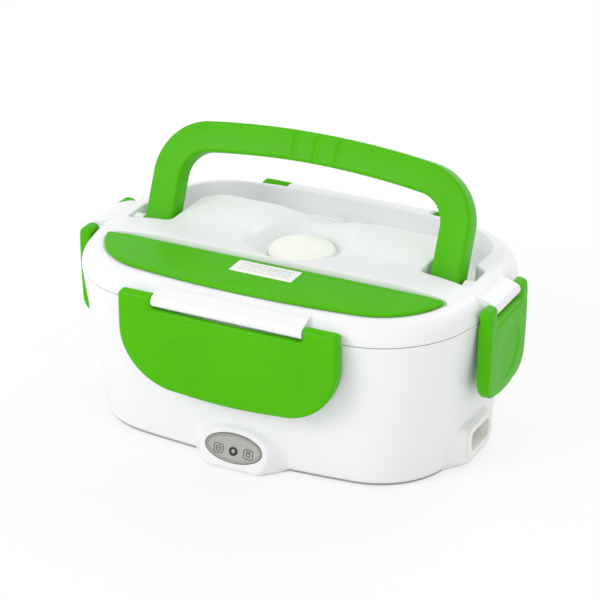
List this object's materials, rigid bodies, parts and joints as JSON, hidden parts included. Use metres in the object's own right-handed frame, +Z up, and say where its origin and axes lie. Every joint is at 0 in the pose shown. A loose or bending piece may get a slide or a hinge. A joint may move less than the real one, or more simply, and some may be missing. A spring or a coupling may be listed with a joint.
{
  "type": "electric lunch box",
  "caption": "Oblong heated food container with a lift-off lid held by hinged clip latches, a fold-down carry handle, a lid compartment for cutlery and a mains inlet on one end.",
  "frame": {"origin": "on the ground under the middle of the box", "axes": "+X to the right along the long side, -Y towards the front latch and the indicator, +Z up"},
  "size_m": [0.2346, 0.1636, 0.1473],
  "materials": {
    "white_plastic": "satin white moulded shell",
    "inner_plastic": "fine matt white moulding",
    "dark_rubber": "matt black rubber",
    "steel": "plain steel",
    "aluminium": "turned and pressed aluminium",
    "ceramic": "fired heater body in heat-proof film",
    "dark_plastic": "black phenolic",
    "felt": "needled fibre mat",
    "brass": "bright brass",
    "lead_red": "silicone lead sleeve",
    "panel_grey": "fine grained warm grey",
    "lens": "frosted light guide",
    "board": "lacquered circuit board",
    "green_plastic": "satin leaf green, slightly translucent",
    "silicone": "soft cream silicone",
    "label": "plain white film label"
  },
  "bodies": {
    "base": {"base_shell": "white_plastic", "base_liner": "inner_plastic", "bottom_cover": "inner_plastic", "rubber_feet": "dark_rubber", "base_screws": "steel", "heating_plate": "aluminium", "heater_block": "ceramic", "heater_clamp": "aluminium", "clamp_screws": "steel", "thermal_cutout": "dark_plastic", "insulation_pad": "felt", "inlet_socket": "white_plastic", "inlet_pins": "brass", "inlet_leads": "lead_red", "indicator_panel": "panel_grey", "indicator_lens": "lens", "indicator_board": "board", "food_tray": "inner_plastic", "side_dish_box": "inner_plastic", "side_dish_lid": "green_plastic"},
    "lid": {"lid_top": "white_plastic", "lid_inner": "inner_plastic", "lid_gasket": "silicone", "spoon": "white_plastic", "handle_pins": "steel", "long_latch_pins": "steel", "short_latch_pins": "steel"},
    "valve": {"steam_valve": "silicone"},
    "cover": {"cutlery_cover": "green_plastic", "cover_pins": "green_plastic", "write_on_label": "label"},
    "handle": {"carry_handle": "green_plastic"},
    "latch_front": {"front_latch": "green_plastic"},
    "latch_rear": {"rear_latch": "green_plastic"},
    "latch_left": {"left_latch": "green_plastic"},
    "latch_right": {"right_latch": "green_plastic"}
  },
  "joints": [
    {"name": "lid_lift", "type": "slide", "parent": "base", "child": "lid", "axis": [0, 0, 1], "range_m": [0, 0.1]},
    {"name": "valve_lift", "type": "slide", "parent": "lid", "child": "valve", "axis": [0, 0, 1], "range_m": [0, 0.006]},
    {"name": "cover_open", "type": "hinge", "parent": "lid", "child": "cover", "pos_m": [0, -0.0297, 0.0946], "axis": [-1, 0, 0], "range_deg": [0, 95]},
    {"name": "handle_fold", "type": "hinge", "parent": "lid", "child": "handle", "pos_m": [0, 0.0018, 0.087], "axis": [-1, 0, 0], "range_deg": [-24, 65]},
    {"name": "front_latch_open", "type": "hinge", "parent": "lid", "child": "latch_front", "pos_m": [0, -0.0784, 0.088], "axis": [-1, 0, 0], "range_deg": [0, 110]},
    {"name": "rear_latch_open", "type": "hinge", "parent": "lid", "child": "latch_rear", "pos_m": [0, 0.0784, 0.088], "axis": [1, 0, 0], "range_deg": [0, 110]},
    {"name": "left_latch_open", "type": "hinge", "parent": "lid", "child": "latch_left", "pos_m": [-0.1136, 0, 0.088], "axis": [0, 1, 0], "range_deg": [0, 110]},
    {"name": "right_latch_open", "type": "hinge", "parent": "lid", "child": "latch_right", "pos_m": [0.1136, 0, 0.088], "axis": [0, -1, 0], "range_deg": [0, 110]}
  ]
}
